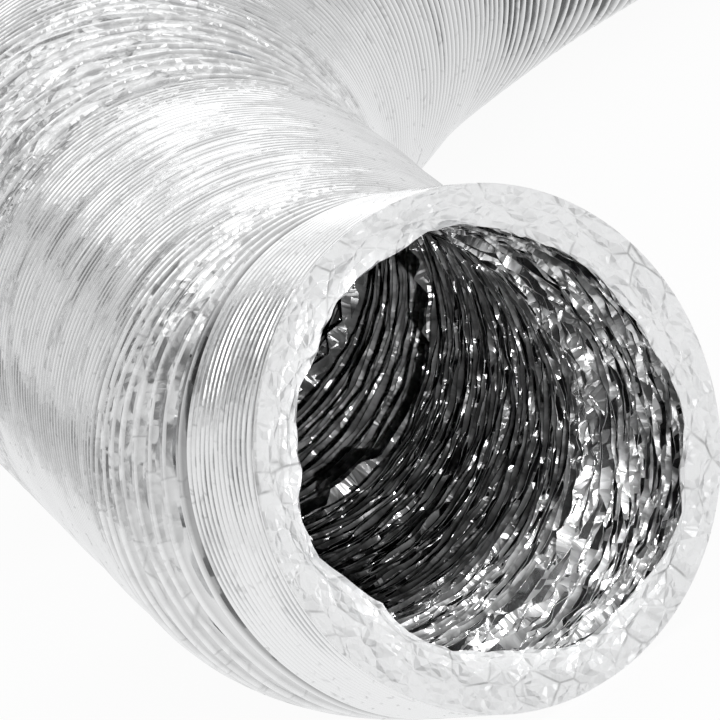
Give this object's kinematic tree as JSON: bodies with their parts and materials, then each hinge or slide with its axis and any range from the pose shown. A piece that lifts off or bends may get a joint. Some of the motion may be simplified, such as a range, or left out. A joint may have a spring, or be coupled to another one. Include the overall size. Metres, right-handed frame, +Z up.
{
  "type": "flexible air duct",
  "caption": "Flexible aluminium foil air duct for 150 mm spigots, lying in a hook, part pushed together and part pulled out.",
  "frame": {"origin": "centre of the bore at the mouth's last turn of wire", "axes": "+X out of the mouth along its bore, +Z up, so the duct lies on a surface parallel to XY, and +Y along the far leg towards the tail end"},
  "size_m": [0.8946, 0.7657, 0.1593],
  "materials": {
    "outer_foil": "bright crumpled foil",
    "inner_foil": "bright crumpled foil",
    "hem_foil": "bright creased foil",
    "wire": "drawn spring wire"
  },
  "bodies": {
    "near": {"outer_ply_near_leg_a": "outer_foil", "wire_near_leg_a": "wire", "inner_ply_near_leg_a": "inner_foil", "outer_ply_near_leg_b": "outer_foil", "wire_near_leg_b": "wire", "inner_ply_near_leg_b": "inner_foil", "outer_ply_near_leg_c": "outer_foil", "wire_near_leg_c": "wire", "inner_ply_near_leg_c": "inner_foil"},
    "front_b": {"outer_ply_front_pleats_b": "outer_foil", "wire_front_pleats_b": "wire", "inner_ply_front_pleats_b": "inner_foil"},
    "front_a": {"outer_ply_front_pleats_a": "outer_foil", "wire_front_pleats_a": "wire", "inner_ply_front_pleats_a": "inner_foil"},
    "mouth": {"outer_ply_mouth_pleats": "outer_foil", "wire_mouth_pleats": "wire", "inner_ply_mouth_pleats": "inner_foil", "outer_ply_mouth": "outer_foil", "wire_mouth": "wire", "inner_ply_mouth": "inner_foil", "mouth_hem": "hem_foil"},
    "open": {"outer_ply_open_pleats_a": "outer_foil", "wire_open_pleats_a": "wire", "inner_ply_open_pleats_a": "inner_foil"},
    "far": {"outer_ply_open_pleats_b": "outer_foil", "wire_open_pleats_b": "wire", "inner_ply_open_pleats_b": "inner_foil", "outer_ply_far_leg_a": "outer_foil", "wire_far_leg_a": "wire", "inner_ply_far_leg_a": "inner_foil", "outer_ply_far_leg_b": "outer_foil", "wire_far_leg_b": "wire", "inner_ply_far_leg_b": "inner_foil", "outer_ply_far_leg_c": "outer_foil", "wire_far_leg_c": "wire", "inner_ply_far_leg_c": "inner_foil"},
    "bend_a": {"outer_ply_bend_a": "outer_foil", "wire_bend_a": "wire", "inner_ply_bend_a": "inner_foil"},
    "bend_b": {"outer_ply_bend_b": "outer_foil", "wire_bend_b": "wire", "inner_ply_bend_b": "inner_foil"},
    "tail": {"outer_ply_tail_pleats": "outer_foil", "wire_tail_pleats": "wire", "inner_ply_tail_pleats": "inner_foil", "outer_ply_tail": "outer_foil", "wire_tail": "wire", "inner_ply_tail": "inner_foil", "tail_hem": "hem_foil"}
  },
  "joints": [
    {"name": "mouth_swing", "type": "hinge", "parent": "near", "child": "front_b", "pos_m": [-0.09159, 0.00686, 0], "axis": [0, 0, 1], "range_deg": [-28, 6], "deforming": ["outer_ply_front_pleats_b", "wire_front_pleats_b", "inner_ply_front_pleats_b"]},
    {"name": "mouth_lift", "type": "hinge", "parent": "front_b", "child": "front_a", "pos_m": [-0.06023, 0.00077, 0], "axis": [-0.0958, -0.9954, 0], "range_deg": [0, 15], "deforming": ["outer_ply_front_pleats_a", "wire_front_pleats_a", "inner_ply_front_pleats_a"]},
    {"name": "mouth_stretch", "type": "slide", "parent": "front_a", "child": "mouth", "axis": [1, 0, 0], "range_m": [-0.004, 0.09], "deforming": ["outer_ply_mouth_pleats", "wire_mouth_pleats", "inner_ply_mouth_pleats"]},
    {"name": "open_stretch", "type": "slide", "parent": "near", "child": "open", "axis": [-0.9272, 0.3746, 0], "range_m": [-0.06, 0.01], "deforming": ["outer_ply_open_pleats_a", "wire_open_pleats_a", "inner_ply_open_pleats_a"]},
    {"name": "far_swing", "type": "hinge", "parent": "open", "child": "far", "pos_m": [-0.47739, 0.16366, 0], "axis": [0, 0, 1], "range_deg": [-20, 24], "deforming": ["outer_ply_open_pleats_b", "wire_open_pleats_b", "inner_ply_open_pleats_b"]},
    {"name": "bend_open", "type": "hinge", "parent": "far", "child": "bend_a", "pos_m": [-0.78356, 0.4151, 0], "axis": [0, 0, 1], "range_deg": [-12, 20], "deforming": ["outer_ply_bend_a", "wire_bend_a", "inner_ply_bend_a"]},
    {"name": "bend_open_b", "type": "hinge", "parent": "bend_a", "child": "bend_b", "pos_m": [-0.80939, 0.48607, 0], "axis": [0, 0, 1], "range_deg": [-12, 20], "deforming": ["outer_ply_bend_b", "wire_bend_b", "inner_ply_bend_b"]},
    {"name": "tail_stretch", "type": "slide", "parent": "bend_b", "child": "tail", "axis": [0, 1, 0], "range_m": [-0.03, 0.12], "deforming": ["outer_ply_tail_pleats", "wire_tail_pleats", "inner_ply_tail_pleats"]}
  ],
  "couplings": [
    {"joint": "bend_open_b", "follows": "bend_open", "ratio": 1}
  ]
}
